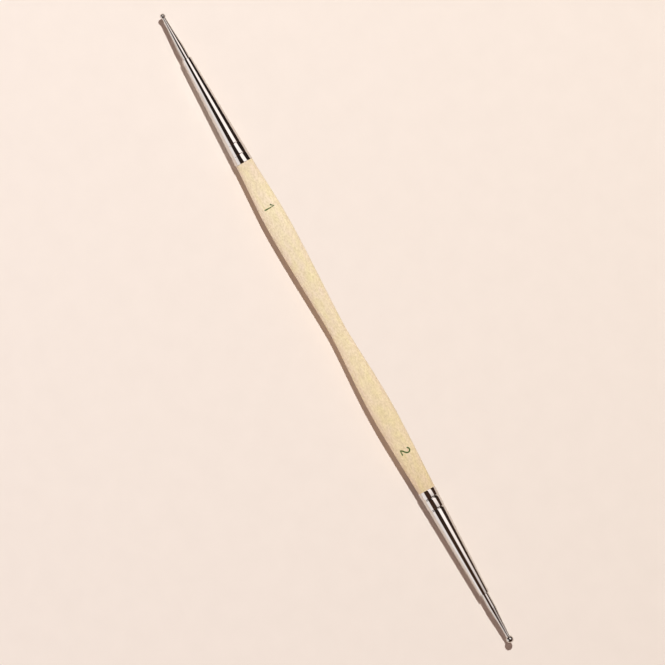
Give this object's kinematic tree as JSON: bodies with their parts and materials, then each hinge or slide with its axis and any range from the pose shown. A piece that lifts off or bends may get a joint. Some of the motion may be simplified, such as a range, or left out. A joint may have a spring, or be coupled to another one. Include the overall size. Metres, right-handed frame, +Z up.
{
  "type": "nail dotting tool",
  "caption": "Slim waisted wooden handle with a crimped, tapered metal ferrule at each end, each holding a tapered steel shank with a small ball tip.",
  "frame": {"origin": "on the surface that the tool lies on, below the middle of its length", "axes": "+X along the tool from the smaller ball (end 1) to the larger ball (end 2), +Y across it, +Z up from the surface"},
  "size_m": [0.18, 0.006, 0.006],
  "materials": {
    "birch_wood": "fine sanded, bare matte birch",
    "nickel_plate": "bright nickel plate on drawn metal",
    "steel": "polished stainless steel",
    "resin": "cured amber resin",
    "print_ink": "matte green pad-printed ink"
  },
  "bodies": {
    "root": {"handle": "birch_wood", "ferrule_1": "nickel_plate", "ferrule_2": "nickel_plate", "resin_plug_1": "resin", "resin_plug_2": "resin", "shank_1": "steel", "shank_2": "steel", "ball_1": "steel", "ball_2": "steel"}
  },
  "joints": []
}
